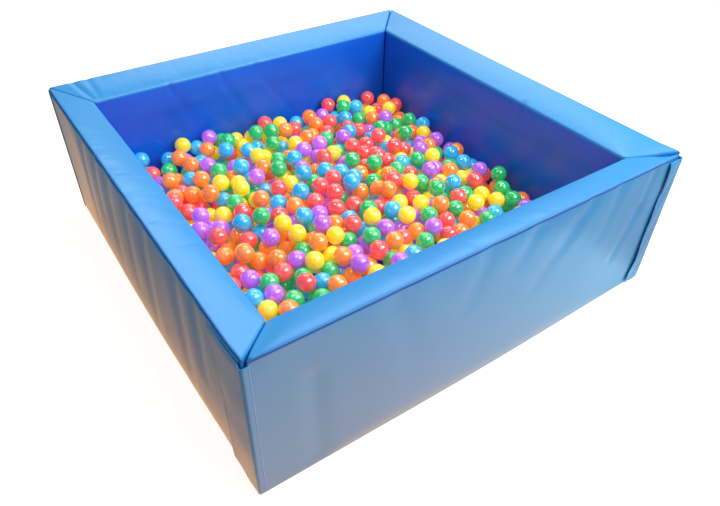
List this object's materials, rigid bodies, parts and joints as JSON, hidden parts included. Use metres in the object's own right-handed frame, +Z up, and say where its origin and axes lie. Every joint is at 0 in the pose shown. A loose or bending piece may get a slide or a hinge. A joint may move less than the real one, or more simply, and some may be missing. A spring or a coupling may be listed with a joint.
{
  "type": "ball pit",
  "caption": "Square soft-play ball pit: mitred foam walls in zipped vinyl covers joined by hook-and-loop corner flaps, a floor mat and a heap of plastic balls.",
  "frame": {"origin": "on the floor, under the middle of the pit", "axes": "+Z up, -Y out through the front wall, +X out through the right wall"},
  "size_m": [1.8192, 1.8192, 0.61],
  "materials": {
    "vinyl": "satin",
    "mat_vinyl": "satin",
    "foam": "matte",
    "zip_tape": "matte",
    "zip_slider": "polished",
    "hook_tape": "matte",
    "loop_tape": "matte",
    "ball_red": "gloss",
    "ball_orange": "gloss",
    "ball_yellow": "gloss",
    "ball_green": "gloss",
    "ball_blue": "gloss",
    "ball_purple": "gloss"
  },
  "bodies": {
    "floor_mat": {"floor_mat_cover": "mat_vinyl", "floor_mat_foam": "foam", "floor_mat_zip": "zip_tape"},
    "floor_mat_slider": {"floor_mat_zip_slider": "zip_slider"},
    "front_wall": {"front_wall_cover": "vinyl", "front_wall_foam": "foam", "front_wall_zip": "zip_tape", "front_wall_flap_hem": "vinyl", "front_wall_loop_tape": "loop_tape"},
    "front_wall_flap": {"front_wall_flap": "vinyl", "front_wall_hook_tape": "hook_tape"},
    "front_wall_slider": {"front_wall_zip_slider": "zip_slider"},
    "right_wall": {"right_wall_cover": "vinyl", "right_wall_foam": "foam", "right_wall_zip": "zip_tape", "right_wall_flap_hem": "vinyl", "right_wall_loop_tape": "loop_tape"},
    "right_wall_flap": {"right_wall_flap": "vinyl", "right_wall_hook_tape": "hook_tape"},
    "right_wall_slider": {"right_wall_zip_slider": "zip_slider"},
    "back_wall": {"back_wall_cover": "vinyl", "back_wall_foam": "foam", "back_wall_zip": "zip_tape", "back_wall_flap_hem": "vinyl", "back_wall_loop_tape": "loop_tape"},
    "back_wall_flap": {"back_wall_flap": "vinyl", "back_wall_hook_tape": "hook_tape"},
    "back_wall_slider": {"back_wall_zip_slider": "zip_slider"},
    "left_wall": {"left_wall_cover": "vinyl", "left_wall_foam": "foam", "left_wall_zip": "zip_tape", "left_wall_flap_hem": "vinyl", "left_wall_loop_tape": "loop_tape"},
    "left_wall_flap": {"left_wall_flap": "vinyl", "left_wall_hook_tape": "hook_tape"},
    "left_wall_slider": {"left_wall_zip_slider": "zip_slider"},
    "ball_heap": {"ball_heap": "ball_red"},
    "loose_ball_01": {"loose_ball_01": "ball_yellow"},
    "loose_ball_02": {"loose_ball_02": "ball_blue"},
    "loose_ball_03": {"loose_ball_03": "ball_purple"},
    "loose_ball_04": {"loose_ball_04": "ball_blue"},
    "loose_ball_05": {"loose_ball_05": "ball_purple"},
    "loose_ball_06": {"loose_ball_06": "ball_red"},
    "loose_ball_07": {"loose_ball_07": "ball_orange"},
    "loose_ball_08": {"loose_ball_08": "ball_green"},
    "loose_ball_09": {"loose_ball_09": "ball_red"},
    "loose_ball_10": {"loose_ball_10": "ball_green"},
    "loose_ball_11": {"loose_ball_11": "ball_yellow"},
    "loose_ball_12": {"loose_ball_12": "ball_orange"}
  },
  "joints": [
    {"name": "floor_mat_zip_run", "type": "slide", "parent": "floor_mat", "child": "floor_mat_slider", "axis": [1, 0, 0], "range_m": [0, 1.22]},
    {"name": "front_wall_lift_off", "type": "slide", "parent": "floor_mat", "child": "front_wall", "axis": [0, 0, 1], "range_m": [0, 0.65]},
    {"name": "front_wall_flap_peel", "type": "hinge", "parent": "front_wall", "child": "front_wall_flap", "pos_m": [-0.90587, -0.90105, 0.3], "axis": [0, 0, 1], "range_deg": [0, 180]},
    {"name": "front_wall_zip_run", "type": "slide", "parent": "front_wall", "child": "front_wall_slider", "axis": [1, 0, 0], "range_m": [0, 1.22]},
    {"name": "right_wall_lift_off", "type": "slide", "parent": "floor_mat", "child": "right_wall", "axis": [0, 0, 1], "range_m": [0, 0.65]},
    {"name": "right_wall_flap_peel", "type": "hinge", "parent": "right_wall", "child": "right_wall_flap", "pos_m": [0.90105, -0.90481, 0.3], "axis": [0, 0, 1], "range_deg": [0, 180]},
    {"name": "right_wall_zip_run", "type": "slide", "parent": "right_wall", "child": "right_wall_slider", "axis": [0, 1, 0], "range_m": [0, 1.22]},
    {"name": "back_wall_lift_off", "type": "slide", "parent": "floor_mat", "child": "back_wall", "axis": [0, 0, 1], "range_m": [0, 0.65]},
    {"name": "back_wall_flap_peel", "type": "hinge", "parent": "back_wall", "child": "back_wall_flap", "pos_m": [0.90587, 0.90105, 0.3], "axis": [0, 0, 1], "range_deg": [0, 180]},
    {"name": "back_wall_zip_run", "type": "slide", "parent": "back_wall", "child": "back_wall_slider", "axis": [-1, 0, 0], "range_m": [0, 1.22]},
    {"name": "left_wall_lift_off", "type": "slide", "parent": "floor_mat", "child": "left_wall", "axis": [0, 0, 1], "range_m": [0, 0.65]},
    {"name": "left_wall_flap_peel", "type": "hinge", "parent": "left_wall", "child": "left_wall_flap", "pos_m": [-0.90105, 0.90481, 0.3], "axis": [0, 0, 1], "range_deg": [0, 180]},
    {"name": "left_wall_zip_run", "type": "slide", "parent": "left_wall", "child": "left_wall_slider", "axis": [0, -1, 0], "range_m": [0, 1.22]},
    {"name": "ball_heap_scoop_out", "type": "slide", "parent": "floor_mat", "child": "ball_heap", "axis": [0, 0, 1], "range_m": [0, 0.6]},
    {"name": "loose_ball_01_pick_up", "type": "slide", "parent": "ball_heap", "child": "loose_ball_01", "axis": [0, 0, 1], "range_m": [0, 0.45]},
    {"name": "loose_ball_02_pick_up", "type": "slide", "parent": "ball_heap", "child": "loose_ball_02", "axis": [0, 0, 1], "range_m": [0, 0.45]},
    {"name": "loose_ball_03_pick_up", "type": "slide", "parent": "ball_heap", "child": "loose_ball_03", "axis": [0, 0, 1], "range_m": [0, 0.45]},
    {"name": "loose_ball_04_pick_up", "type": "slide", "parent": "ball_heap", "child": "loose_ball_04", "axis": [0, 0, 1], "range_m": [0, 0.45]},
    {"name": "loose_ball_05_pick_up", "type": "slide", "parent": "ball_heap", "child": "loose_ball_05", "axis": [0, 0, 1], "range_m": [0, 0.45]},
    {"name": "loose_ball_06_pick_up", "type": "slide", "parent": "ball_heap", "child": "loose_ball_06", "axis": [0, 0, 1], "range_m": [0, 0.45]},
    {"name": "loose_ball_07_pick_up", "type": "slide", "parent": "ball_heap", "child": "loose_ball_07", "axis": [0, 0, 1], "range_m": [0, 0.45]},
    {"name": "loose_ball_08_pick_up", "type": "slide", "parent": "ball_heap", "child": "loose_ball_08", "axis": [0, 0, 1], "range_m": [0, 0.45]},
    {"name": "loose_ball_09_pick_up", "type": "slide", "parent": "ball_heap", "child": "loose_ball_09", "axis": [0, 0, 1], "range_m": [0, 0.45]},
    {"name": "loose_ball_10_pick_up", "type": "slide", "parent": "ball_heap", "child": "loose_ball_10", "axis": [0, 0, 1], "range_m": [0, 0.45]},
    {"name": "loose_ball_11_pick_up", "type": "slide", "parent": "ball_heap", "child": "loose_ball_11", "axis": [0, 0, 1], "range_m": [0, 0.45]},
    {"name": "loose_ball_12_pick_up", "type": "slide", "parent": "ball_heap", "child": "loose_ball_12", "axis": [0, 0, 1], "range_m": [0, 0.45]}
  ]
}
